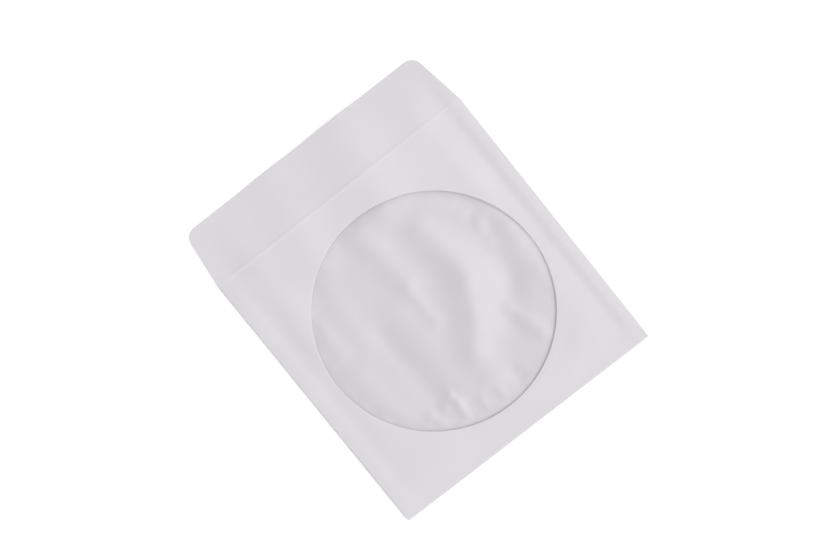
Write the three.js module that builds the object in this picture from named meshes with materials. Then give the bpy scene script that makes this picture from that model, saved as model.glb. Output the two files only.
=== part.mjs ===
// A paper sleeve for one 120 mm disc, with a round film window and an open flap.
// Millimetres, +Z up. The back panel lies flat on the ground and the window faces up. The origin is
// the centre of the back panel's underside, below the middle of the window, and +Y points to the flap.
//
// The sleeve is one die-cut sheet. Its flat blank is laid out first, panel by panel, and then folded:
// side tabs in, and the back panel up over them. The sheet keeps one thickness all over.

import * as THREE from 'three';

// Driving dimensions of the paper
const SLEEVE_WIDTH = 127; // from side fold to side fold, outside
const SLEEVE_HEIGHT = 127; // from the bottom fold to the crease of the flap, outside
const PAPER_THICKNESS = 0.12;
const FOLD_INNER_RADIUS = 0.1; // inside radius of the two side folds
const WINDOW_DIAMETER = 101.6;
const FLAP_LENGTH = 25.4; // from the crease to the free edge
const FLAP_TAPER = 4.1; // how far each side of the flap has drawn in at its free edge
const FLAP_CORNER = 4.5; // length of edge that each rounded corner of the flap takes
const TAB_WIDTH = 10; // side tab, from its fold to its free edge
const TAB_NOTCH = 0.8; // gap between each end of a tab's fold and the corner of the front panel
const TAB_LOWER_SLANT = 3; // how far a tab's lower end has moved up at its free edge
const TAB_UPPER_SLANT = 6; // how far a tab's upper end has moved down at its free edge
const BACK_INSET = 1; // gap between the back panel's sides and the side folds
const BACK_SHORTFALL = 2.5; // how far the back panel's top edge lies below the crease

// Driving dimensions of the pocket, the film and the glue
const POCKET_HEIGHT = 2; // clear height between the back panel and the film
const FILM_THICKNESS = 0.05;
const FILM_CORNER = 2; // length of edge that each rounded corner of the film takes
const FILM_BORDER = 0.2; // film beyond the outside of its ring of glue
const FILM_CLEARANCE = 0.28; // level paper beyond the film, before the front panel slopes down
const RING_GLUE_THICKNESS = 0.03;
const RING_GLUE_SETBACK = 0.5; // from the window's edge to the ring of glue
const RING_GLUE_WIDTH = 3;
const SEAM_GLUE_THICKNESS = 0.05;
const SEAM_GLUE_MARGIN = 1.5; // tab left bare on each side of its strip of glue
const SEAM_GLUE_END = 4; // tab left bare beyond each end of its strip of glue

// Fineness of the round and sloping stretches
const WINDOW_FACETS = 96;
const CORNER_STEPS = 6;
const SLOPE_STEPS = 8;
const FOLD_STEPS = 8;
const FLAP_STEPS = 4;
const TANGENT_STEP = 1e-4; // step on the sheet that a tangent is measured over
const SAME_POINT = 1e-6; // blank points closer than this are one point

// Levels of the layers, from the ground up, each at the middle of the paper
const HALF_PAPER = PAPER_THICKNESS / 2;
const BACK_LEVEL = HALF_PAPER;
const SEAM_GLUE_BASE = PAPER_THICKNESS;
const TAB_LEVEL = SEAM_GLUE_BASE + SEAM_GLUE_THICKNESS + HALF_PAPER;
const SIDE_FOLD_RADIUS = FOLD_INNER_RADIUS + HALF_PAPER;
const EDGE_LEVEL = TAB_LEVEL + 2 * SIDE_FOLD_RADIUS;
const BOTTOM_FOLD_RADIUS = (EDGE_LEVEL - BACK_LEVEL) / 2;
const FILM_BASE = PAPER_THICKNESS + POCKET_HEIGHT;
const RING_GLUE_BASE = FILM_BASE + FILM_THICKNESS;
const FRONT_LEVEL = RING_GLUE_BASE + RING_GLUE_THICKNESS + HALF_PAPER;

// Fold lines of the blank. Across the front panel and the flap, a blank point has the x and y of the
// finished sleeve. Past a fold, the blank's own length is measured on along the sheet.
const SIDE_FOLD = SLEEVE_WIDTH / 2 - SIDE_FOLD_RADIUS - HALF_PAPER;
const BOTTOM_FOLD = SLEEVE_HEIGHT / 2 - BOTTOM_FOLD_RADIUS - HALF_PAPER;
const CREASE = SLEEVE_HEIGHT / 2;
const FLAP_END = CREASE + FLAP_LENGTH;
const SIDE_FOLD_LENGTH = Math.PI * SIDE_FOLD_RADIUS;
const BOTTOM_FOLD_LENGTH = Math.PI * BOTTOM_FOLD_RADIUS;
const TAB_LOWER_END = -BOTTOM_FOLD + TAB_NOTCH;
const TAB_UPPER_END = CREASE - TAB_NOTCH;
const TAB_EDGE = SIDE_FOLD + SIDE_FOLD_LENGTH + TAB_WIDTH;
const BACK_HALF_WIDTH = SIDE_FOLD - BACK_INSET;
const BACK_EDGE = -BOTTOM_FOLD - BOTTOM_FOLD_LENGTH - (BOTTOM_FOLD + CREASE - BACK_SHORTFALL);

// The film, and the slopes that carry the front panel down to its folds beyond the film
const WINDOW_RADIUS = WINDOW_DIAMETER / 2;
const RING_GLUE_INNER = WINDOW_RADIUS + RING_GLUE_SETBACK;
const RING_GLUE_OUTER = RING_GLUE_INNER + RING_GLUE_WIDTH;
const FILM_HALF = RING_GLUE_OUTER + FILM_BORDER;
const SIDE_SLOPE = SIDE_FOLD - FILM_HALF - FILM_CLEARANCE;
const BOTTOM_SLOPE = BOTTOM_FOLD - FILM_HALF - FILM_CLEARANCE;

/** Even steps from 0 to 1. */
function steps(count) {
  return Array.from({ length: count + 1 }, (_, step) => step / count);
}

/** Steps from 0 to 1 along a fold and the straight stretch past it, fine in the fold only. */
function foldThenFlat(foldLength, wholeLength) {
  return [...steps(FOLD_STEPS).map((step) => (step * foldLength) / wholeLength), 1];
}

/** Four corners of a rectangle on the blank, anticlockwise from the lower left. */
function rectangle(left, low, right, high) {
  return [[left, low], [right, low], [right, high], [left, high]].map(([x, y]) => new THREE.Vector2(x, y));
}

/** Splits a four-cornered stretch of the blank into cells, by steps across it and along it. */
function patch([lowerLeft, lowerRight, upperRight, upperLeft], across, along) {
  const point = (s, t) => lowerLeft.clone().lerp(lowerRight, s).lerp(upperLeft.clone().lerp(upperRight, s), t);
  return across.slice(1).flatMap((right, column) =>
    along.slice(1).map((high, row) => {
      const left = across[column];
      const low = along[row];
      return { outline: [point(left, low), point(right, low), point(right, high), point(left, high)] };
    }),
  );
}

/** A full circle about the middle of the window, as a path. */
function circle(radius) {
  return new THREE.Path().absarc(0, 0, radius, 0, 2 * Math.PI, false);
}

/** Steps across the front panel and the flap, fine on the two side slopes only. */
function acrossSteps() {
  const share = SIDE_SLOPE / (2 * SIDE_FOLD);
  const left = steps(SLOPE_STEPS).map((step) => step * share);
  return [...left, ...left.map((step) => 1 - step).reverse()];
}

/** Front panel: a level middle with the window, and the slopes at its sides and its bottom. */
function frontCells() {
  const level = SIDE_FOLD - SIDE_SLOPE;
  const slopeTop = -BOTTOM_FOLD + BOTTOM_SLOPE;
  const window = circle(WINDOW_RADIUS).getPoints(WINDOW_FACETS / 2).slice(1);
  return [
    { outline: rectangle(-level, slopeTop, level, CREASE), hole: window },
    ...patch(rectangle(-SIDE_FOLD, slopeTop, -level, CREASE), steps(SLOPE_STEPS), [0, 1]),
    ...patch(rectangle(level, slopeTop, SIDE_FOLD, CREASE), steps(SLOPE_STEPS), [0, 1]),
    ...patch(rectangle(-SIDE_FOLD, -BOTTOM_FOLD, SIDE_FOLD, slopeTop), acrossSteps(), steps(SLOPE_STEPS)),
  ];
}

/** Flap: tapered sides, then a strip along its free edge with two rounded corners. */
function flapCells() {
  const side = new THREE.Vector2(-FLAP_TAPER, FLAP_LENGTH).setLength(FLAP_CORNER);
  const tip = SIDE_FOLD - FLAP_TAPER;
  const corner = new THREE.Vector2(tip - side.x, FLAP_END - side.y);
  const rounded = new THREE.QuadraticBezierCurve(
    corner,
    new THREE.Vector2(tip, FLAP_END),
    new THREE.Vector2(tip - FLAP_CORNER, FLAP_END),
  ).getPoints(CORNER_STEPS);
  const mirrored = rounded.map(({ x, y }) => new THREE.Vector2(-x, y)).reverse();
  const base = rectangle(-SIDE_FOLD, CREASE, SIDE_FOLD, corner.y);
  base[2].x = corner.x;
  base[3].x = -corner.x;
  return [...patch(base, acrossSteps(), steps(FLAP_STEPS)), { outline: [...rounded, ...mirrored] }];
}

/** Side tab with slanted ends. side is 1 on the right and -1 on the left. */
function tabCells(side) {
  const corners = rectangle(side * SIDE_FOLD, TAB_LOWER_END, side * TAB_EDGE, TAB_UPPER_END);
  corners[1].y += TAB_LOWER_SLANT;
  corners[2].y -= TAB_UPPER_SLANT;
  return patch(corners, foldThenFlat(SIDE_FOLD_LENGTH, SIDE_FOLD_LENGTH + TAB_WIDTH), [0, 1]);
}

/** Back panel, from the bottom fold to its top edge. */
function backCells() {
  const corners = rectangle(-BACK_HALF_WIDTH, -BOTTOM_FOLD, BACK_HALF_WIDTH, BACK_EDGE);
  return patch(corners, [0, 1], foldThenFlat(BOTTOM_FOLD_LENGTH, -BOTTOM_FOLD - BACK_EDGE));
}

/** The whole flat blank, as cells. */
function blankCells() {
  return [...frontCells(), ...flapCells(), ...tabCells(-1), ...tabCells(1), ...backCells()];
}

/** Numbers the blank's points, so that cells which meet share them. */
class SharedPoints {
  numbers = new Map();
  points = [];

  numberOf(point) {
    const key = `${Math.round(point.x / SAME_POINT)},${Math.round(point.y / SAME_POINT)}`;
    if (!this.numbers.has(key)) {
      this.numbers.set(key, this.points.length);
      this.points.push(point);
    }
    return this.numbers.get(key);
  }

  /** Points that lie on the straight edge from start to end, in their order along it. */
  along(start, end) {
    const edge = end.clone().sub(start);
    const length = edge.length();
    const direction = edge.divideScalar(length);
    return this.points
      .map((point) => ({ point, arm: point.clone().sub(start) }))
      .map(({ point, arm }) => ({ point, place: arm.dot(direction), off: Math.abs(arm.cross(direction)) }))
      .filter(({ place, off }) => off < SAME_POINT && place > SAME_POINT && place < length - SAME_POINT)
      .sort((a, b) => a.place - b.place)
      .map(({ point }) => point);
  }
}

/** Triangles of all cells, as numbers of shared points, anticlockwise on the blank. */
function triangulate(cells, shared) {
  cells.forEach(({ outline }) => outline.forEach((point) => shared.numberOf(point)));
  return cells.flatMap(({ outline, hole = [] }) => {
    const whole = outline.flatMap((start, i) => {
      const end = outline[(i + 1) % outline.length];
      return [start, ...shared.along(start, end)];
    });
    const points = [...whole, ...hole];
    return THREE.ShapeUtils.triangulateShape(whole, hole.length ? [hole] : []).map((face) => {
      const corners = face.map((index) => points[index]);
      if (THREE.ShapeUtils.isClockWise(corners)) corners.reverse();
      return corners.map((point) => shared.numberOf(point));
    });
  });
}

/** How far the front panel has risen, from 0 at a fold to 1 where its slope ends. */
function rise(distance, slope) {
  const short = 1 - THREE.MathUtils.clamp(distance / slope, 0, 1);
  return 1 - short * short;
}

/** Level of the front panel, which slopes down to the side folds and the bottom fold. */
function frontLevel(u, v) {
  const risen = rise(SIDE_FOLD - Math.abs(u), SIDE_SLOPE) * rise(BOTTOM_FOLD + v, BOTTOM_SLOPE);
  return THREE.MathUtils.lerp(EDGE_LEVEL, FRONT_LEVEL, risen);
}

/** Sheet past a half-turn fold: how far out it reaches from the fold line, and how far down. */
function pastFold(length, radius) {
  const turn = Math.min(length / radius, Math.PI);
  const flat = Math.max(length - Math.PI * radius, 0);
  return { out: radius * Math.sin(turn) - flat, down: radius * (1 - Math.cos(turn)) };
}

/** Folds a blank point: its place on the middle of the finished sheet. */
function fold(u, v) {
  if (v < -BOTTOM_FOLD) {
    const { out, down } = pastFold(-BOTTOM_FOLD - v, BOTTOM_FOLD_RADIUS);
    return new THREE.Vector3(u, -BOTTOM_FOLD - out, EDGE_LEVEL - down);
  }
  if (v > CREASE) {
    const level = THREE.MathUtils.mapLinear(v, CREASE, FLAP_END, frontLevel(u, CREASE), BACK_LEVEL);
    return new THREE.Vector3(u, v, level);
  }
  if (Math.abs(u) > SIDE_FOLD) {
    const { out, down } = pastFold(Math.abs(u) - SIDE_FOLD, SIDE_FOLD_RADIUS);
    return new THREE.Vector3(Math.sign(u) * (SIDE_FOLD + out), v, EDGE_LEVEL - down);
  }
  return new THREE.Vector3(u, v, frontLevel(u, v));
}

/** Direction that the outer side of the sheet faces at a blank point. */
function facing(u, v) {
  const across = fold(u + TANGENT_STEP, v).sub(fold(u - TANGENT_STEP, v));
  const along = fold(u, v + TANGENT_STEP).sub(fold(u, v - TANGENT_STEP));
  return across.cross(along).normalize();
}

/** A closed sheet of even thickness, folded from a blank's cells, with a wall along every cut edge. */
function foldedSheet(cells, thickness) {
  const shared = new SharedPoints();
  const faces = triangulate(cells, shared);
  const side = (offset) =>
    shared.points.map(({ x, y }) => fold(x, y).addScaledVector(facing(x, y), offset));
  const under = shared.points.length;

  const edges = new Set(faces.flatMap(([a, b, c]) => [`${a},${b}`, `${b},${c}`, `${c},${a}`]));
  const index = [];
  for (const [a, b, c] of faces) {
    index.push(a, b, c, under + c, under + b, under + a);
    for (const [p, q] of [[a, b], [b, c], [c, a]]) {
      if (!edges.has(`${q},${p}`)) index.push(p, under + p, q, q, under + p, under + q);
    }
  }
  const geometry = new THREE.BufferGeometry();
  geometry.setFromPoints([...side(thickness / 2), ...side(-thickness / 2)]);
  geometry.setIndex(index);
  geometry.computeVertexNormals();
  return geometry;
}

/** A flat plate of a shape, from one level up. */
function plate(shape, base, thickness, divisions) {
  const options = { depth: thickness, bevelEnabled: false, curveSegments: divisions };
  return new THREE.ExtrudeGeometry(shape, options).translate(0, 0, base);
}

/** Square film patch with rounded corners, centred on the window. */
function filmShape() {
  const straight = FILM_HALF - FILM_CORNER;
  const shape = new THREE.Shape();
  shape.moveTo(-straight, -FILM_HALF);
  shape.lineTo(straight, -FILM_HALF);
  shape.quadraticCurveTo(FILM_HALF, -FILM_HALF, FILM_HALF, -straight);
  shape.lineTo(FILM_HALF, straight);
  shape.quadraticCurveTo(FILM_HALF, FILM_HALF, straight, FILM_HALF);
  shape.lineTo(-straight, FILM_HALF);
  shape.quadraticCurveTo(-FILM_HALF, FILM_HALF, -FILM_HALF, straight);
  shape.lineTo(-FILM_HALF, -straight);
  shape.quadraticCurveTo(-FILM_HALF, -FILM_HALF, -straight, -FILM_HALF);
  return shape;
}

/** Ring of glue round the window. */
function ringGlueShape() {
  const shape = new THREE.Shape().absarc(0, 0, RING_GLUE_OUTER, 0, 2 * Math.PI, false);
  shape.holes.push(circle(RING_GLUE_INNER));
  return shape;
}

/** Strip of glue under one side tab. side is 1 on the right and -1 on the left. */
function seamGlueShape(side) {
  const inner = side * (SIDE_FOLD - TAB_WIDTH + SEAM_GLUE_MARGIN);
  const outer = side * (BACK_HALF_WIDTH - SEAM_GLUE_MARGIN);
  const low = TAB_LOWER_END + TAB_LOWER_SLANT + SEAM_GLUE_END;
  const high = TAB_UPPER_END - TAB_UPPER_SLANT - SEAM_GLUE_END;
  return new THREE.Shape(rectangle(inner, low, outer, high));
}

const paper = new THREE.MeshStandardMaterial({ color: 0xdedce0, roughness: 0.85, metalness: 0 });
const film = new THREE.MeshStandardMaterial({
  color: 0xf2f3f5,
  roughness: 0.15,
  metalness: 0,
  transparent: true,
  opacity: 0.3,
});
const glue = new THREE.MeshStandardMaterial({ color: 0xe6e3d8, roughness: 0.5, metalness: 0 });

/** Adds one named piece to the sleeve. */
function addPiece(group, name, geometry, material) {
  const mesh = new THREE.Mesh(geometry, material);
  mesh.name = name;
  group.add(mesh);
}

const sleeve = new THREE.Group();
sleeve.name = 'cd_sleeve';
addPiece(sleeve, 'paper_sleeve', foldedSheet(blankCells(), PAPER_THICKNESS), paper);
addPiece(sleeve, 'window_film', plate(filmShape(), FILM_BASE, FILM_THICKNESS, CORNER_STEPS), film);
addPiece(
  sleeve,
  'window_glue',
  plate(ringGlueShape(), RING_GLUE_BASE, RING_GLUE_THICKNESS, WINDOW_FACETS / 2),
  glue.clone(),
);
for (const [name, side] of [['side_seam_glue_left', -1], ['side_seam_glue_right', 1]]) {
  addPiece(sleeve, name, plate(seamGlueShape(side), SEAM_GLUE_BASE, SEAM_GLUE_THICKNESS, 1), glue.clone());
}

export default sleeve;
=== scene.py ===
# %% [markdown]
# # A paper cd sleeve in Blender
#
# The object is a white paper sleeve of the usual 5 inch size. It lies on its back, empty, with its
# round clear window up and its flap open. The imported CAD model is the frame: it says how big every
# piece is and where it lies. This script dresses that frame. The paper, the film and the ring of glue
# between them are made again here as fine sheets, because their look comes from very shallow relief.
# The two strips of glue under the side tabs keep their CAD shape.

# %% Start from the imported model
import math

import bmesh
import bpy
from mathutils import Matrix, Vector


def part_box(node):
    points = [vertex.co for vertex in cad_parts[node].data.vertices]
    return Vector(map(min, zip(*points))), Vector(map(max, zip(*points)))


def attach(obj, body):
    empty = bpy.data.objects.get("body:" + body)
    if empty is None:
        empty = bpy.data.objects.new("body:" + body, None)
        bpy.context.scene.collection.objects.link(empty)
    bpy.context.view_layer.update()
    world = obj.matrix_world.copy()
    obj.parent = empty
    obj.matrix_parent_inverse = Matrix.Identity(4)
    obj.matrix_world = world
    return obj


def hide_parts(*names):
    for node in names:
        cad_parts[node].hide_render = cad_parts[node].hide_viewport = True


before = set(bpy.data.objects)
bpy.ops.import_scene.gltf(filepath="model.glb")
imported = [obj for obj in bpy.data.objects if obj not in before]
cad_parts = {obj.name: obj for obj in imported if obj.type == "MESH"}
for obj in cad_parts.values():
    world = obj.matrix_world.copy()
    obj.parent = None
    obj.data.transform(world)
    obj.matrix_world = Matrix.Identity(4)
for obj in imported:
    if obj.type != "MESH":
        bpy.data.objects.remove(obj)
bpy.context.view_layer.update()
MM = 0.001
TINY = 1e-6

# %% [markdown]
# ## Sizes
#
# Nothing is measured twice. The paper's box gives the width, the two ends and the top. The strips of
# glue under the side tabs give the paper's thickness and the level of the tabs, because they lie
# between the back panel and the tabs. The ring of glue and the film give their own thickness and
# reach. What the boxes can't tell, such as the tabs' width, repeats the values of the drawing.

# %% Sizes that the frame gives
PAPER_LOW, PAPER_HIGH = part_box("paper_sleeve")
FILM_LOW, FILM_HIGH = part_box("window_film")
RING_LOW, RING_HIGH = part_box("window_glue")
SEAM_LOW, SEAM_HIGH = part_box("side_seam_glue_right")

PAPER = SEAM_LOW.z
TAB_LEVEL = SEAM_HIGH.z + PAPER / 2
BACK_LEVEL = PAPER / 2
FRONT_LEVEL = PAPER_HIGH.z - PAPER / 2
FILM_THICKNESS = FILM_HIGH.z - FILM_LOW.z
FILM_HALF = FILM_HIGH.x
print("paper", round(PAPER / MM, 3), "mm thick, front panel at", round(FRONT_LEVEL / MM, 3), "mm")

# %% Sizes that the drawing gives
BODY_HEIGHT = 127 * MM
SIDE_FOLD_RADIUS = 0.16 * MM
WINDOW_RADIUS = 50.8 * MM
FLAP_TAPER = 3.5 * MM
FLAP_LEAN = 0.8 * MM
FLAP_CORNER = 4.5 * MM
TAB_WIDTH = 10 * MM
TAB_LOWER_SLANT = 3 * MM
TAB_UPPER_SLANT = 6 * MM
NOTCH = 0.8 * MM
BACK_INSET = 1 * MM
BACK_SHORTFALL = 2.5 * MM

EDGE_LEVEL = TAB_LEVEL + 2 * SIDE_FOLD_RADIUS
BOTTOM_FOLD_RADIUS = (EDGE_LEVEL - BACK_LEVEL) / 2
SIDE_FOLD = PAPER_HIGH.x - SIDE_FOLD_RADIUS - PAPER / 2
BOTTOM_FOLD = -PAPER_LOW.y - BOTTOM_FOLD_RADIUS - PAPER / 2
CREASE = PAPER_LOW.y + BODY_HEIGHT
FLAP_END = PAPER_HIGH.y
print("side fold at x =", round(SIDE_FOLD / MM, 2), "mm, crease at y =", round(CREASE / MM, 2), "mm")

# %% [markdown]
# ## Camera
#
# The photograph looks almost straight down with a long lens, so opposite edges stay nearly parallel.
# A camera could be turned by three angles, but a point to look at, a place to stand and the direction
# that runs to the right of the picture say the same thing and are easier to check.

# %% Camera
LENS = 174.5
SENSOR = 36
LOOK_AT = Vector((2.5, 17.5, 0.2)) * MM
STAND = Vector((184.5, 248.3, 1627)) * MM
PICTURE_RIGHT = Vector((0.784, -0.620, 0))


def place_camera():
    """A camera at STAND that looks at LOOK_AT, turned so that PICTURE_RIGHT runs to the right."""
    data = bpy.data.cameras.new("camera")
    data.lens = LENS
    data.sensor_width = SENSOR
    camera = bpy.data.objects.new("camera", data)
    backward = (STAND - LOOK_AT).normalized()
    right = (PICTURE_RIGHT - PICTURE_RIGHT.dot(backward) * backward).normalized()
    up = backward.cross(right)
    camera.matrix_world = Matrix.Translation(STAND) @ Matrix((right, up, backward)).transposed().to_4x4()
    bpy.context.scene.collection.objects.link(camera)
    bpy.context.scene.camera = camera


place_camera()
print("camera stands", round((STAND - LOOK_AT).length, 3), "m away")

# %% [markdown]
# ## Shape of the front panel
#
# Paper that looks flat is never flat. A few long swells cross the panel and the flap, and they are
# what its shading shows. A sculpted mesh would hide these numbers, so the height is a formula of the
# place on the panel, and each swell is a line with a width and a height. The last row is the crease
# of the flap, a ridge only about a millimetre wide.

# %% Swells
# Each row is two ends, a width and a height, all in mm. A negative height is a hollow.
PAPER_SWELLS = (
    (16.5, 92, 12, 48, 7.5, 0.64),
    (5, 92, 1, 48, 12, 0.30),
    (-20, 92, -24, 48, 6.5, 0.48),
    (-2, 92, -4, 66, 4, -0.08),
    (-56, 57, -43, 36, 4, 0.26),
    (-49, 34, -49.5, -28, 2.5, 0.10),
    (48, 36, 47, 4, 4, 0.16),
    (24, -60, 50, -38, 3.5, 0.10),
    (-61, -60, -52, -48, 3, 0.08),
    (-63, 63.8, 63, 63.8, 0.45, 0.10),
)
# A swell adds nothing further off than this many widths.
SWELL_REACH = 4


def eased(value, start, end):
    """0 up to start, 1 from end on, and a smooth step between them."""
    share = min(max((value - start) / (end - start), 0), 1)
    return share * share * (3 - 2 * share)


def swell_height(swells, x, y):
    """Height that all swells together add at a place."""
    total = 0
    for x0, y0, x1, y1, width, height in swells:
        along_x, along_y = x1 - x0, y1 - y0
        from_x, from_y = x / MM - x0, y / MM - y0
        share = (from_x * along_x + from_y * along_y) / (along_x**2 + along_y**2)
        share = min(max(share, 0), 1)
        away = math.hypot(from_x - share * along_x, from_y - share * along_y) / width
        if away < SWELL_REACH:
            total += height * MM * math.exp(-away * away / 2)
    return total


print(len(PAPER_SWELLS), "swells on the paper")

# %% [markdown]
# The swells lie on an even level. The empty pocket is nearly shut at the bottom fold and stands open
# at its mouth, and the panel rises from its three folds over a centimetre or two. Beside each side
# fold it follows the glued layers below it, up over the seam and down into a trough, which shows more
# on the right than on the left. The rim of the window dips where the film pulls on it, and that short
# slope draws the thin line round the window.

# %% Height of the paper
BOTTOM_LEVEL = 0.78 * MM
MOUTH_DROP = 0.95 * MM
SIDE_RISE = 7 * MM, 20 * MM
BOTTOM_RISE = 0.5 * MM, 14 * MM
TROUGH_PLACE = 7.3 * MM
TROUGH_WIDTH = 1.5 * MM
TROUGH_DEPTH = 0.08 * MM
SEAM_PLACE = 3.4 * MM
SEAM_WIDTH = 1.9 * MM
SEAM_HEIGHT = 0.16 * MM
SWELL_FADE = 5 * MM
LEFT_SHARE = 0.35
RIM_DIP = 0.05 * MM
RIM_DIP_WIDTH = 0.45 * MM


def hump(distance, place, width):
    """1 at a place and falling smoothly to 0 on both sides."""
    return math.exp(-(((distance - place) / width) ** 2) / 2)


def even_height(x, y):
    """Level of the middle of the paper on the front panel without its swells."""
    side = SIDE_FOLD - abs(x)
    bottom = BOTTOM_FOLD + y
    open_share = bottom / (BOTTOM_FOLD + CREASE)
    top = BOTTOM_LEVEL + (FRONT_LEVEL - MOUTH_DROP - BOTTOM_LEVEL) * open_share
    height = EDGE_LEVEL + (top - EDGE_LEVEL) * eased(side, *SIDE_RISE) * eased(bottom, *BOTTOM_RISE)
    seam = SEAM_HEIGHT * hump(side, SEAM_PLACE, SEAM_WIDTH)
    seam -= TROUGH_DEPTH * hump(side, TROUGH_PLACE, TROUGH_WIDTH)
    return height + seam * eased(bottom, *BOTTOM_RISE) * (1 if x > 0 else LEFT_SHARE)


def front_height(x, y):
    """Level of the middle of the paper on the front panel."""
    fade = eased(SIDE_FOLD - abs(x), 0, SWELL_FADE) * eased(BOTTOM_FOLD + y, 0, SWELL_FADE)
    from_rim = max(math.hypot(x, y) - WINDOW_RADIUS, 0)
    dip = RIM_DIP * math.exp(-from_rim / RIM_DIP_WIDTH)
    return min(even_height(x, y) + swell_height(PAPER_SWELLS, x, y) * fade, FRONT_LEVEL) - dip


print("front panel in mm at the mouth:", round(front_height(0, CREASE) / MM, 2))
print("at the bottom of the window:", round(front_height(0, -WINDOW_RADIUS) / MM, 2))

# %% [markdown]
# ## Front panel
#
# A square sheet with a round hole is awkward for a plain grid, whose squares would leave a stepped
# rim. So the mesh starts from two loops with as many corners each: the round rim and the square
# outline. bridge_loops joins them, and cuts across the bridge make rings that turn from round to
# square. The rings are then crowded towards the rim, whose dip is too narrow for evenly spaced ones,
# and straight cuts beside the crease do the same for its ridge.

# %% Front panel
RIM_STEPS = 384
RINGS = 34
RING_CROWDING = 1.5
# Distances from the crease, in mm, at which the mesh is cut.
CREASE_ROWS = 0.25, 0.5, 0.8, 1.2, 1.8, 2.6


def loop_edges(verts):
    """Edges whose two ends are both among verts."""
    inside = set(verts)
    touching = {edge for vert in verts for edge in vert.link_edges}
    return [edge for edge in touching if set(edge.verts) <= inside]


def crowd_rings(vert):
    """Draws a point towards the rim, where the paper's edge needs the finest mesh."""
    reach = max(abs(vert.co.x) / SIDE_FOLD, vert.co.y / CREASE, -vert.co.y / BOTTOM_FOLD)
    radius = math.hypot(vert.co.x, vert.co.y)
    outer = radius / reach
    share = (radius - WINDOW_RADIUS) / (outer - WINDOW_RADIUS)
    if share < 1 - TINY:
        share = max(share, 0) ** RING_CROWDING
    vert.co *= (WINDOW_RADIUS + (outer - WINDOW_RADIUS) * share) / radius


def make_front():
    """Front panel with its window, as a bmesh surface at the middle of the paper."""
    sheet = bmesh.new()
    rim = bmesh.ops.create_circle(sheet, radius=WINDOW_RADIUS, segments=RIM_STEPS)["verts"]
    outline = bmesh.ops.create_circle(sheet, radius=1, segments=RIM_STEPS)["verts"]
    for vert in outline:
        square = vert.co / max(abs(vert.co.x), abs(vert.co.y))
        vert.co = (square.x * SIDE_FOLD, square.y * (CREASE if square.y > 0 else BOTTOM_FOLD), 0)
    loops = loop_edges(rim) + loop_edges(outline)
    bridge = bmesh.ops.bridge_loops(sheet, edges=loops)["edges"]
    bmesh.ops.subdivide_edges(sheet, edges=bridge, cuts=RINGS, use_grid_fill=True)
    for vert in sheet.verts:
        crowd_rings(vert)
    for row in CREASE_ROWS:
        everything = sheet.verts[:] + sheet.edges[:] + sheet.faces[:]
        place = (0, CREASE - row * MM, 0)
        bmesh.ops.bisect_plane(sheet, geom=everything, dist=TINY, plane_co=place, plane_no=(0, 1, 0))
    for vert in sheet.verts:
        vert.co.z = front_height(vert.co.x, vert.co.y)
    bmesh.ops.recalc_face_normals(sheet, faces=sheet.faces)
    if sheet.faces[0].normal.z < 0:
        bmesh.ops.reverse_faces(sheet, faces=sheet.faces)
    return sheet


sheet = make_front()
print("front panel:", len(sheet.faces), "faces")

# %% [markdown]
# ## Folds, tabs and back panel
#
# Each fold is a half turn of the sheet's own edge about the line inside the fold, which is what the
# spin operator does. The panel past the fold is one extrusion of the edge that the spin ends with. The
# side tabs go in first, and the back panel comes up from the bottom under them, where glue holds it.

# %% Folds, tabs and back panel
FOLD_STEPS = 8


def border_edges(test):
    """Border edges of the sheet whose two ends both pass a test on their place."""
    border = [edge for edge in sheet.edges if edge.is_boundary]
    return [edge for edge in border if all(test(vert.co) for vert in edge.verts)]


def fold_under(edges, centre, axis, move):
    """Turns edges half round under the sheet and then extends them by move. Returns the last points."""
    verts = list({vert for edge in edges for vert in edge.verts})
    turned = bmesh.ops.spin(
        sheet, geom=verts + edges, cent=centre, axis=axis, angle=math.pi, steps=FOLD_STEPS, use_merge=False
    )["geom_last"]
    last = [item for item in turned if isinstance(item, bmesh.types.BMEdge)]
    grown = bmesh.ops.extrude_edge_only(sheet, edges=last)["geom"]
    verts = [item for item in grown if isinstance(item, bmesh.types.BMVert)]
    bmesh.ops.translate(sheet, verts=verts, vec=move)
    return verts


def make_tab(side):
    """Side tab. side is 1 on the right and -1 on the left."""
    low, high = -BOTTOM_FOLD + NOTCH, CREASE - NOTCH
    edges = border_edges(lambda spot: abs(spot.x - side * SIDE_FOLD) < TINY and low < spot.y < high)
    centre = (side * SIDE_FOLD, 0, EDGE_LEVEL - SIDE_FOLD_RADIUS)
    verts = fold_under(edges, centre, (0, side, 0), (-side * TAB_WIDTH, 0, 0))
    for vert in verts:
        share = (vert.co.y - low) / (high - low)
        vert.co.y += TAB_LOWER_SLANT * (1 - share) - TAB_UPPER_SLANT * share
    return len(verts)


def make_back():
    """Back panel, folded up from the bottom."""
    half = SIDE_FOLD - BACK_INSET
    edges = border_edges(lambda spot: abs(spot.y + BOTTOM_FOLD) < TINY and abs(spot.x) < half)
    centre = (0, -BOTTOM_FOLD, EDGE_LEVEL - BOTTOM_FOLD_RADIUS)
    length = BOTTOM_FOLD + CREASE - BACK_SHORTFALL
    return len(fold_under(edges, centre, (1, 0, 0), (0, length, 0)))


tab_points = make_tab(-1) + make_tab(1)
back_points = make_back()
print("points along the tabs:", tab_points, "and along the back panel:", back_points)

# %% [markdown]
# ## Flap
#
# The flap carries on from the crease. It is the crease's own edge, extruded in rows, each row as wide
# as the die cut it there. Rows lie closer together near the free edge, so that the two rounded corners
# come out round. The flap slopes down from the pocket's mouth until its edge touches the ground. The
# swells of the mouth run on over it and grow a little fainter towards the edge. In the photograph the
# flap also leans a little to the left, so each row is moved that way in step with its length.

# %% Flap
FLAP_ROWS = 16
CORNER_ROWS = 8
FLAP_EASE = 0.3


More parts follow.
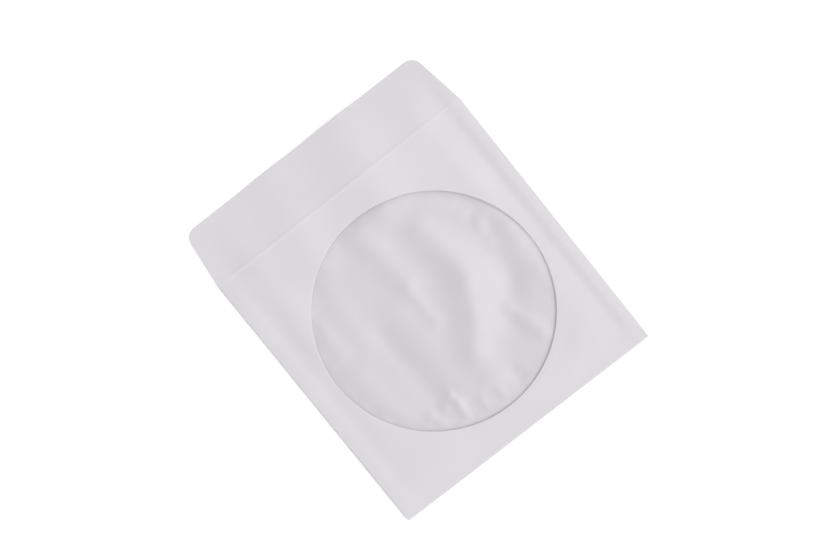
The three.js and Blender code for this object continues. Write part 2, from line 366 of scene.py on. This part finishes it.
def flap_half_width(length):
    """Half the flap's width at a length from the crease, with the rounded corners at its free edge."""
    straight = SIDE_FOLD - FLAP_TAPER * length / (FLAP_END - CREASE)
    short = max(length - (FLAP_END - CREASE - FLAP_CORNER), 0)
    return straight - (FLAP_CORNER - math.sqrt(FLAP_CORNER**2 - short**2))


def flap_rows():
    """Lengths from the crease at which the flap has a row, evenly spaced up to the rounded corners."""
    start = FLAP_END - CREASE - FLAP_CORNER
    rows = [row * MM for row in CREASE_ROWS]
    rows += [rows[-1] + (start - rows[-1]) * row / FLAP_ROWS for row in range(1, FLAP_ROWS + 1)]
    turns = [math.pi / 2 * row / CORNER_ROWS for row in range(1, CORNER_ROWS + 1)]
    return rows + [start + FLAP_CORNER * math.sin(turn) for turn in turns]


def flap_height(x, y):
    """Level of the middle of the paper on the flap, which slopes from the crease to the ground."""
    share = (y - CREASE) / (FLAP_END - CREASE)
    slope = even_height(x, CREASE) * (1 - share) + BACK_LEVEL * share
    fade = eased(SIDE_FOLD - abs(x), 0, SWELL_FADE) * (1 - FLAP_EASE * share)
    return min(max(slope + swell_height(PAPER_SWELLS, x, y) * fade, BACK_LEVEL), FRONT_LEVEL)


def make_flap():
    """Flap, extruded row by row from the crease."""
    edges = border_edges(lambda spot: abs(spot.y - CREASE) < TINY)
    for length in flap_rows():
        grown = bmesh.ops.extrude_edge_only(sheet, edges=edges)["geom"]
        edges = [item for item in grown if isinstance(item, bmesh.types.BMEdge)]
        width = flap_half_width(length)
        lean = FLAP_LEAN * length / (FLAP_END - CREASE)
        for vert in {vert for edge in edges for vert in edge.verts}:
            vert.co = (vert[column] * width - lean, CREASE + length, 0)
            vert.co.z = flap_height(vert.co.x, CREASE + length)
    return len(edges)


column = sheet.verts.layers.float.new("column")
for vert in sheet.verts:
    vert[column] = vert.co.x / SIDE_FOLD
free_edges = make_flap()
print("the flap's free edge has", free_edges, "edges")

# %% [markdown]
# ## One sheet of paper
#
# The surface so far is the middle of the paper. The Solidify modifier gives it the paper's own
# thickness, half to each side, and closes the cut edges. It is applied here, so that the sharp cut
# edges can be marked and the rest shaded smooth. The film and the ring of glue get their thickness in
# the same way.

# %% One sheet of paper
SHARP = math.radians(40)


def finished_sheet(surface, name, thickness):
    """An object with a closed mesh: surface with its thickness, half to each side."""
    mesh = bpy.data.meshes.new(name)
    surface.to_mesh(mesh)
    surface.free()
    raw = bpy.data.objects.new(name, mesh)
    bpy.context.scene.collection.objects.link(raw)
    solidify = raw.modifiers.new("thickness", "SOLIDIFY")
    solidify.thickness = thickness
    solidify.offset = 0
    solidify.use_even_offset = True
    graph = bpy.context.evaluated_depsgraph_get()
    raw.data = bpy.data.meshes.new_from_object(raw.evaluated_get(graph), depsgraph=graph)
    raw.modifiers.clear()
    raw.data.name = name
    raw.data.shade_smooth()
    raw.data.set_sharp_from_angle(angle=SHARP)
    return raw


bmesh.ops.recalc_face_normals(sheet, faces=sheet.faces)
if max(sheet.faces, key=lambda face: face.calc_center_median().z).normal.z < 0:
    bmesh.ops.reverse_faces(sheet, faces=sheet.faces)
paper_sheet = finished_sheet(sheet, "paper_sheet", PAPER)
print("paper sheet:", len(paper_sheet.data.polygons), "faces")

# %% [markdown]
# ## Window film
#
# The film is a clear patch, glued to the inside of the front panel in a ring round the window. It was
# pulled a little slack, so inside the window it sags and ripples, mostly along the sleeve, with short
# puckers where glue holds it. Its ripples are swells like the paper's, only steeper, and lower where
# the pocket leaves them less room. They are what catches the light, because the film mirrors a little
# of the room. The puckers are one wave round the rim, whose phase drifts so that they don't look
# evenly spaced.

# %% Window film
# Rows as for the paper: two ends, a width and a height, all in mm.
FILM_SWELLS = (
    (18, 30, 20, 3, 5, 0.62),
    (19, 3, 12, -12, 5, 0.58),
    (12, -12, 3, -23, 5, 0.46),
    (4, -23, 2, -36, 4.5, 0.34),
    (37, 12, 34, -8, 4.5, -0.36),
    (33, -9, 23, -24, 4, -0.36),
    (-5, 47, -1, 16, 4, 0.34),
    (24, 44, 30, 30, 4, 0.24),
    (-2.5, 14, -2, -4, 2.2, 0.20),
    (-12, 8, -11, -32, 5.5, 0.24),
    (-23, 6, -22, -30, 3.5, -0.26),
    (-43, 24, -41, 10, 3, 0.20),
    (-41, -2, -39, -30, 4, 0.24),
    (-29, 34, -31, 8, 4, 0.14),
    (-21, -34, -17, -32, 1.5, 0.20),
    (-17, -32, -16, -37, 1.5, 0.22),
    (-16, -37, -17, -47, 1.6, 0.26),
    (-29, -35, -26, -42, 1.8, 0.24),
    (-7, -41, -8, -47, 1.6, 0.14),
    (1, -43, 1, -48, 1.5, 0.12),
    (25.5, -19, 31, -37, 2.4, 0.34),
    (34, 25, 42, 29, 2.0, 0.13),
    (36, 16, 45, 21, 2.0, 0.13),
    (38, 20, 36, 8, 2.0, 0.12),
    (10, -40, 11, -45, 2.2, -0.20),
)
FILM_CELLS = 190
FILM_SAG = 0.12 * MM
SAG_REACH = 20 * MM
RIPPLE_EDGE = 6 * MM
RIPPLE_LEAST = 0.5
PUCKERS = 34
PUCKER_DRIFT = 2
PUCKER_DRIFT_WAVES = 3
PUCKER_HEIGHT = 0.022 * MM
PUCKER_PEAK = 1.5 * MM
PUCKER_LENGTH = 7 * MM
GLUE_THICKNESS = RING_HIGH.z - RING_LOW.z
FILM_DROP = PAPER / 2 + GLUE_THICKNESS + FILM_THICKNESS / 2
FULL_POCKET = FRONT_LEVEL - BACK_LEVEL


def film_height(x, y):
    """Level of the middle of the film: under the front panel, and slack inside the window."""
    level = front_height(x, y) - FILM_DROP
    inside = WINDOW_RADIUS - math.hypot(x, y)
    if inside <= 0:
        return level
    slack = eased(inside, 0, RIPPLE_EDGE)
    room = (level - BACK_LEVEL) / FULL_POCKET
    ripple = swell_height(FILM_SWELLS, x, y) * min(1, RIPPLE_LEAST + room)
    angle = math.atan2(y, x)
    pucker = math.sin(PUCKERS * angle + PUCKER_DRIFT * math.sin(PUCKER_DRIFT_WAVES * angle))
    pucker *= PUCKER_HEIGHT * eased(inside, 0, PUCKER_PEAK)
    pucker *= 1 - eased(inside, PUCKER_PEAK, PUCKER_LENGTH)
    height = level + slack * (ripple - FILM_SAG * min(1, inside / SAG_REACH)) + pucker
    lowest = PAPER + FILM_THICKNESS
    return max(min(height, FRONT_LEVEL - FILM_THICKNESS), lowest)


def make_film():
    """Film patch with its ripples, as a bmesh surface at the middle of the film."""
    film = bmesh.new()
    bmesh.ops.create_grid(film, x_segments=FILM_CELLS, y_segments=FILM_CELLS, size=FILM_HALF)
    for vert in film.verts:
        vert.co.z = film_height(vert.co.x, vert.co.y)
    return film


film_sheet = finished_sheet(make_film(), "film_sheet", FILM_THICKNESS)
print("film sheet:", len(film_sheet.data.polygons), "faces")

# %% [markdown]
# ## Glue round the window
#
# The ring of glue lies between the film and the front panel, so it has to follow their relief. It is
# two circles joined by bridge_loops, lifted to the panel and given the thickness of the CAD ring.

# %% Glue round the window
GLUE_SETBACK = 0.5 * MM
GLUE_INNER = WINDOW_RADIUS + GLUE_SETBACK
GLUE_OUTER = RING_HIGH.x


def make_glue_ring():
    """Ring of glue, as a bmesh surface at the middle of the glue."""
    ring = bmesh.new()
    edges = []
    for radius in (GLUE_INNER, GLUE_OUTER):
        edges += loop_edges(bmesh.ops.create_circle(ring, radius=radius, segments=RIM_STEPS)["verts"])
    bmesh.ops.bridge_loops(ring, edges=edges)
    for vert in ring.verts:
        vert.co.z = front_height(vert.co.x, vert.co.y) - (PAPER + GLUE_THICKNESS) / 2
    bmesh.ops.recalc_face_normals(ring, faces=ring.faces)
    return ring


glue_ring = finished_sheet(make_glue_ring(), "glue_ring", GLUE_THICKNESS)
print("glue ring:", len(glue_ring.data.polygons), "faces")

# %% [markdown]
# ## Paper finish
#
# White paper is never one flat colour. The pulp is a little cloudy over a centimetre or so, and the
# surface is a felt of fibres far finer than a millimetre. Both are noise on Object coordinates: the
# cloud tints the colour, and the fibres are a shallow bump and a slightly uneven roughness.

# %% Paper finish
def new_material(name):
    """An empty node material: its nodes, its links and its Principled shader."""
    material = bpy.data.materials.new(name)
    material.use_nodes = True
    tree = material.node_tree
    return material, tree.nodes, tree.links, tree.nodes["Principled BSDF"]


def noise(nodes, links, scale, detail=3.0, stretch=(1, 1, 1)):
    """Noise on Object coordinates, scale being waves in a metre. Returns its value socket."""
    place = nodes.new("ShaderNodeTexCoord")
    mapping = nodes.new("ShaderNodeMapping")
    mapping.inputs["Scale"].default_value = stretch
    texture = nodes.new("ShaderNodeTexNoise")
    texture.inputs["Scale"].default_value = scale
    texture.inputs["Detail"].default_value = detail
    links.new(place.outputs["Object"], mapping.inputs["Vector"])
    links.new(mapping.outputs["Vector"], texture.inputs["Vector"])
    return texture.outputs["Fac"]


def ramp(nodes, links, value, dark, light, low=0.35, high=0.65):
    """Colours from dark to light as value goes from low to high."""
    node = nodes.new("ShaderNodeValToRGB")
    node.color_ramp.elements[0].position = low
    node.color_ramp.elements[0].color = (*dark, 1)
    node.color_ramp.elements[1].position = high
    node.color_ramp.elements[1].color = (*light, 1)
    links.new(value, node.inputs["Fac"])
    return node.outputs["Color"]


def between(nodes, links, value, low, high, start=0, end=1):
    """A number from low to high as value goes from start to end."""
    node = nodes.new("ShaderNodeMapRange")
    node.inputs["From Min"].default_value = start
    node.inputs["From Max"].default_value = end
    node.inputs["To Min"].default_value = low
    node.inputs["To Max"].default_value = high
    links.new(value, node.inputs["Value"])
    return node.outputs["Result"]


def bump(nodes, links, shader, height, distance):
    """Bumps a shader's normal by a height."""
    node = nodes.new("ShaderNodeBump")
    node.inputs["Distance"].default_value = distance
    links.new(height, node.inputs["Height"])
    links.new(node.outputs["Normal"], shader.inputs["Normal"])


PAPER_DARK = (0.677, 0.660, 0.685)
PAPER_LIGHT = (0.692, 0.675, 0.700)
PAPER_ROUGHNESS = 0.60, 0.80
CLOUD_SCALE = 45
FIBRE_SCALE = 2600
FIBRE_DETAIL = 4
FIBRE_STRETCH = (1, 0.45, 1)
FIBRE_BUMP = 0.02 * MM


def white_paper():
    """Smooth uncoated white paper."""
    material, nodes, links, shader = new_material("white_paper")
    cloud = noise(nodes, links, CLOUD_SCALE)
    fibre = noise(nodes, links, FIBRE_SCALE, FIBRE_DETAIL, FIBRE_STRETCH)
    links.new(ramp(nodes, links, cloud, PAPER_DARK, PAPER_LIGHT), shader.inputs["Base Color"])
    links.new(between(nodes, links, fibre, *PAPER_ROUGHNESS), shader.inputs["Roughness"])
    bump(nodes, links, shader, fibre, FIBRE_BUMP)
    return material


paper_finish = white_paper()
paper_sheet.data.materials.append(paper_finish)
print("paper finish on", paper_sheet.name)

# %% [markdown]
# ## Film finish
#
# Clear film shows what lies behind it and mirrors a little of what stands in front of it. Glass with
# refraction would need light to find its way through two faces, which is slow and noisy. A Transparent
# shader mixed with a mirror by Fresnel gives the same look. Only the face that is turned outwards
# mirrors, and its index is raised a little, so that it stands for both faces of the film.

# %% Film finish
FILM_INDEX = 2.1
FILM_TINT = (0.95, 0.95, 0.97, 1)
FILM_ROUGHNESS = 0.05, 0.18
SMEAR_SCALE = 130
WAVE_SCALE = 220
WAVE_BUMP = 0.03 * MM


def reckon(nodes, links, operation, *values):
    """A Math node's result from values that are sockets or plain numbers."""
    node = nodes.new("ShaderNodeMath")
    node.operation = operation
    for socket, value in zip(node.inputs, values):
        if isinstance(value, bpy.types.NodeSocket):
            links.new(value, socket)
        else:
            socket.default_value = value
    return node.outputs[0]


def clear_film():
    """Clear glossy film."""
    material, nodes, links, shader = new_material("clear_film")
    shader.inputs["Base Color"].default_value = FILM_TINT
    shader.inputs["Metallic"].default_value = 1
    smear = noise(nodes, links, SMEAR_SCALE)
    links.new(between(nodes, links, smear, *FILM_ROUGHNESS), shader.inputs["Roughness"])
    bump(nodes, links, shader, noise(nodes, links, WAVE_SCALE), WAVE_BUMP)
    fresnel = nodes.new("ShaderNodeFresnel")
    fresnel.inputs["IOR"].default_value = FILM_INDEX
    inner_face = nodes.new("ShaderNodeNewGeometry").outputs["Backfacing"]
    mirrored = reckon(nodes, links, "SUBTRACT", fresnel.outputs["Fac"], inner_face)
    mirrored.node.use_clamp = True
    clear = nodes.new("ShaderNodeBsdfTransparent")
    gloss = nodes.new("ShaderNodeMixShader")
    links.new(mirrored, gloss.inputs["Fac"])
    links.new(clear.outputs["BSDF"], gloss.inputs[1])
    links.new(shader.outputs["BSDF"], gloss.inputs[2])
    links.new(gloss.outputs["Shader"], nodes["Material Output"].inputs["Surface"])
    return material


film_sheet.data.materials.append(clear_film())
print("film finish on", film_sheet.name)

# %% [markdown]
# ## Glue finish
#
# The two strips of glue under the side tabs keep their CAD shape, because they lie between flat
# layers. Dried glue is slightly yellow and a little uneven.

# %% Glue finish
GLUE_DARK = (0.74, 0.72, 0.64)
GLUE_LIGHT = (0.80, 0.78, 0.71)
GLUE_ROUGHNESS = 0.35, 0.6
PATCH_SCALE = 240


def dried_glue():
    """Dried clear glue."""
    material, nodes, links, shader = new_material("dried_glue")
    patches = noise(nodes, links, PATCH_SCALE)
    links.new(ramp(nodes, links, patches, GLUE_DARK, GLUE_LIGHT), shader.inputs["Base Color"])
    links.new(between(nodes, links, patches, *GLUE_ROUGHNESS), shader.inputs["Roughness"])
    return material


glue_finish = dried_glue()
glue_ring.data.materials.append(glue_finish)
for name in ("side_seam_glue_left", "side_seam_glue_right"):
    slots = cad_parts[name].data.materials
    slots.clear()
    slots.append(glue_finish)
print("glue finish on the ring and both strips")

# %% [markdown]
# ## Which piece stands for what
#
# The new paper, film and ring of glue stand for the plain CAD ones, which are hidden. Nothing on the
# sleeve moves, so the three new pieces ride on the one body.

# %% Which piece stands for what
for piece, node, slot in (
    (paper_sheet, "paper_sleeve", "paper"),
    (film_sheet, "window_film", "film"),
    (glue_ring, "window_glue", "glue"),
):
    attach(piece, "root")
    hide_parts(node)
    print(piece.name, "stands for", node)

# %% [markdown]
# ## Floor and light
#
# The photograph has a plain white ground and soft light from the right. A floor lit until it clips
# would light the sleeve too much, so it reflects like white card and adds a little glow that only the
# camera and mirrors see. It lies a hair below the sleeve, because two surfaces at one level flicker
# into each other when seen from below.
#
# The light is a tent: a sky that is brighter on one side than on the other. The two sides meet in a
# soft step overhead, and a gentle slope on top of it lets even a faint swell show. A single lamp would
# do for the paper, but the film needs something soft and wide to mirror. Low down the film mirrors
# plain white, as the backdrop is, so that it stays clear when it is seen from the side.

# %% Floor
FLOOR_HALF = 3
FLOOR_COLOUR = 0.8
FLOOR_GLOW = 0.25
FLOOR_LEVEL = -0.03 * MM


def largest(nodes, links, first, *others):
    """The largest of some values."""
    for other in others:
        first = reckon(nodes, links, "MAXIMUM", first, other)
    return first


def make_floor():
    """White floor that shows white and keeps a shadow."""
    surface = bmesh.new()
    bmesh.ops.create_grid(surface, x_segments=1, y_segments=1, size=FLOOR_HALF)
    bmesh.ops.translate(surface, verts=surface.verts, vec=(0, 0, FLOOR_LEVEL))
    mesh = bpy.data.meshes.new("floor")
    surface.to_mesh(mesh)
    surface.free()
    floor = bpy.data.objects.new("floor", mesh)
    bpy.context.scene.collection.objects.link(floor)
    material, nodes, links, shader = new_material("floor_card")
    shader.inputs["Base Color"].default_value = (FLOOR_COLOUR, FLOOR_COLOUR, FLOOR_COLOUR, 1)
    shader.inputs["Roughness"].default_value = 1
    shader.inputs["Specular IOR Level"].default_value = 0
    shader.inputs["Emission Color"].default_value = (1, 1, 1, 1)
    rays = nodes.new("ShaderNodeLightPath").outputs
    seen = largest(nodes, links, rays["Is Camera Ray"], rays["Is Glossy Ray"], rays["Is Transmission Ray"])
    links.new(between(nodes, links, seen, 0, FLOOR_GLOW), shader.inputs["Emission Strength"])
    mesh.materials.append(material)


make_floor()
print("floor is", 2 * FLOOR_HALF, "m wide")

# %% Sky
LIGHT_SIDE = Vector((0.87, -0.5, 0))
DIM_SIDE = 0.52
BRIGHT_SIDE = 1.56
SOFTNESS = 0.2
SPREAD = 0.36
BACKDROP_FADE = 0.2, 0.7


def tent_light(nodes, links, direction):
    """How bright the tent is in a direction."""
    towards = nodes.new("ShaderNodeVectorMath")
    towards.operation = "DOT_PRODUCT"
    towards.inputs[1].default_value = LIGHT_SIDE
    links.new(direction, towards.inputs[0])
    side = towards.outputs["Value"]
    step = between(nodes, links, side, DIM_SIDE, BRIGHT_SIDE, -SOFTNESS, SOFTNESS)
    step.node.interpolation_type = "SMOOTHSTEP"
    return reckon(nodes, links, "MULTIPLY_ADD", side, SPREAD, step)


def backdrop_share(nodes, links, direction):
    """1 for rays that see the white backdrop of the picture, and 0 for those that see the tent."""
    height = nodes.new("ShaderNodeSeparateXYZ")
    links.new(direction, height.inputs[0])
    low = between(nodes, links, height.outputs["Z"], 1, 0, *BACKDROP_FADE)
    rays = nodes.new("ShaderNodeLightPath").outputs
    mirrored = reckon(nodes, links, "MULTIPLY", rays["Is Glossy Ray"], low)
    return largest(nodes, links, rays["Is Camera Ray"], rays["Is Transmission Ray"], mirrored)


def make_sky():
    """A soft sky, brighter on one side, and plain white where the backdrop of the picture is."""
    world = bpy.data.worlds.new("sky")
    bpy.context.scene.world = world
    world.use_nodes = True
    nodes, links = world.node_tree.nodes, world.node_tree.links
    direction = nodes.new("ShaderNodeTexCoord").outputs["Generated"]
    strength = between(nodes, links, backdrop_share(nodes, links, direction), 0, 1)
    links.new(tent_light(nodes, links, direction), strength.node.inputs["To Min"])
    background = nodes["Background"]
    background.inputs["Color"].default_value = (1, 1, 1, 1)
    links.new(strength, background.inputs["Strength"])


make_sky()
bpy.context.scene.view_settings.view_transform = "Standard"
print("sky goes from", DIM_SIDE, "to", BRIGHT_SIDE)

bpy.context.view_layer.update()
